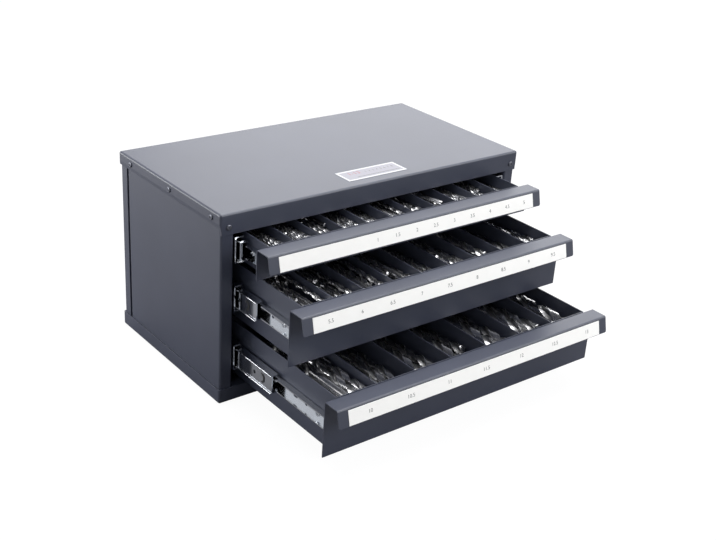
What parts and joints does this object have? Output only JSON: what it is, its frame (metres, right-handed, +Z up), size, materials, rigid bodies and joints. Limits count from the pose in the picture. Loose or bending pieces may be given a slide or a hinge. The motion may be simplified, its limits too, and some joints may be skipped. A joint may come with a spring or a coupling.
{
  "type": "drill bit drawer case",
  "caption": "Low steel cabinet with pull-out drawers on ball-bearing slides, each divided into compartments of loose drill bits.",
  "frame": {"origin": "the middle of the case's underside, where it stands", "axes": "+X to the right as seen from the front, +Y to the back, so the drawers open along -Y, +Z up"},
  "size_m": [0.3828, 0.3721, 0.2012],
  "materials": {
    "case_paint": "satin",
    "zinc_steel": "zinc plated",
    "bit_steel": "ground",
    "cage_steel": "plain",
    "ball_steel": "polished",
    "black_plastic": "matte",
    "label_film": "semi-gloss"
  },
  "bodies": {
    "case": {"base_pan": "case_paint", "floor_plate": "zinc_steel", "top_cover": "case_paint", "side_panel_left": "case_paint", "side_panel_right": "case_paint", "back_panel": "case_paint", "slide_posts_left": "zinc_steel", "slide_posts_right": "zinc_steel", "outer_slides_left": "zinc_steel", "outer_slides_right": "zinc_steel", "cover_screws": "case_paint", "slide_screws": "zinc_steel", "top_label": "label_film"},
    "bottom_drawer": {"bottom_tray": "case_paint", "bottom_front": "case_paint", "bottom_dividers": "case_paint", "bottom_label_strip": "label_film", "bottom_inner_slides": "zinc_steel", "bottom_tray_screws": "zinc_steel", "bottom_drill_bits": "bit_steel"},
    "bottom_middle": {"bottom_middle_slides": "zinc_steel", "bottom_slide_bumpers": "black_plastic"},
    "bottom_outer_cage": {"bottom_outer_ball_cages": "cage_steel", "bottom_outer_balls": "ball_steel"},
    "bottom_inner_cage": {"bottom_inner_ball_cages": "cage_steel", "bottom_inner_balls": "ball_steel"},
    "middle_drawer": {"middle_tray": "case_paint", "middle_front": "case_paint", "middle_dividers": "case_paint", "middle_label_strip": "label_film", "middle_inner_slides": "zinc_steel", "middle_tray_screws": "zinc_steel", "middle_drill_bits": "bit_steel"},
    "middle_middle": {"middle_middle_slides": "zinc_steel", "middle_slide_bumpers": "black_plastic"},
    "middle_outer_cage": {"middle_outer_ball_cages": "cage_steel", "middle_outer_balls": "ball_steel"},
    "middle_inner_cage": {"middle_inner_ball_cages": "cage_steel", "middle_inner_balls": "ball_steel"},
    "top_drawer": {"top_tray": "case_paint", "top_front": "case_paint", "top_dividers": "case_paint", "top_label_strip": "label_film", "top_inner_slides": "zinc_steel", "top_tray_screws": "zinc_steel", "top_drill_bits": "bit_steel"},
    "top_middle": {"top_middle_slides": "zinc_steel", "top_slide_bumpers": "black_plastic"},
    "top_outer_cage": {"top_outer_ball_cages": "cage_steel", "top_outer_balls": "ball_steel"},
    "top_inner_cage": {"top_inner_ball_cages": "cage_steel", "top_inner_balls": "ball_steel"}
  },
  "joints": [
    {"name": "bottom_drawer_slide", "type": "slide", "parent": "case", "child": "bottom_drawer", "axis": [0, -1, 0], "range_m": [-0.149, 0.021]},
    {"name": "bottom_middle_slide", "type": "slide", "parent": "case", "child": "bottom_middle", "axis": [0, -1, 0], "range_m": [-0.0745, 0.0105]},
    {"name": "bottom_outer_cage_slide", "type": "slide", "parent": "case", "child": "bottom_outer_cage", "axis": [0, -1, 0], "range_m": [-0.03725, 0.00525]},
    {"name": "bottom_inner_cage_slide", "type": "slide", "parent": "case", "child": "bottom_inner_cage", "axis": [0, -1, 0], "range_m": [-0.11175, 0.01575]},
    {"name": "middle_drawer_slide", "type": "slide", "parent": "case", "child": "middle_drawer", "axis": [0, -1, 0], "range_m": [-0.091, 0.079]},
    {"name": "middle_middle_slide", "type": "slide", "parent": "case", "child": "middle_middle", "axis": [0, -1, 0], "range_m": [-0.0455, 0.0395]},
    {"name": "middle_outer_cage_slide", "type": "slide", "parent": "case", "child": "middle_outer_cage", "axis": [0, -1, 0], "range_m": [-0.02275, 0.01975]},
    {"name": "middle_inner_cage_slide", "type": "slide", "parent": "case", "child": "middle_inner_cage", "axis": [0, -1, 0], "range_m": [-0.06825, 0.05925]},
    {"name": "top_drawer_slide", "type": "slide", "parent": "case", "child": "top_drawer", "axis": [0, -1, 0], "range_m": [-0.036, 0.134]},
    {"name": "top_middle_slide", "type": "slide", "parent": "case", "child": "top_middle", "axis": [0, -1, 0], "range_m": [-0.018, 0.067]},
    {"name": "top_outer_cage_slide", "type": "slide", "parent": "case", "child": "top_outer_cage", "axis": [0, -1, 0], "range_m": [-0.009, 0.0335]},
    {"name": "top_inner_cage_slide", "type": "slide", "parent": "case", "child": "top_inner_cage", "axis": [0, -1, 0], "range_m": [-0.027, 0.1005]}
  ],
  "couplings": [
    {"joint": "bottom_middle_slide", "follows": "bottom_drawer_slide", "ratio": 0.5},
    {"joint": "bottom_outer_cage_slide", "follows": "bottom_drawer_slide", "ratio": 0.25},
    {"joint": "bottom_inner_cage_slide", "follows": "bottom_drawer_slide", "ratio": 0.75},
    {"joint": "middle_middle_slide", "follows": "middle_drawer_slide", "ratio": 0.5},
    {"joint": "middle_outer_cage_slide", "follows": "middle_drawer_slide", "ratio": 0.25},
    {"joint": "middle_inner_cage_slide", "follows": "middle_drawer_slide", "ratio": 0.75},
    {"joint": "top_middle_slide", "follows": "top_drawer_slide", "ratio": 0.5},
    {"joint": "top_outer_cage_slide", "follows": "top_drawer_slide", "ratio": 0.25},
    {"joint": "top_inner_cage_slide", "follows": "top_drawer_slide", "ratio": 0.75}
  ]
}
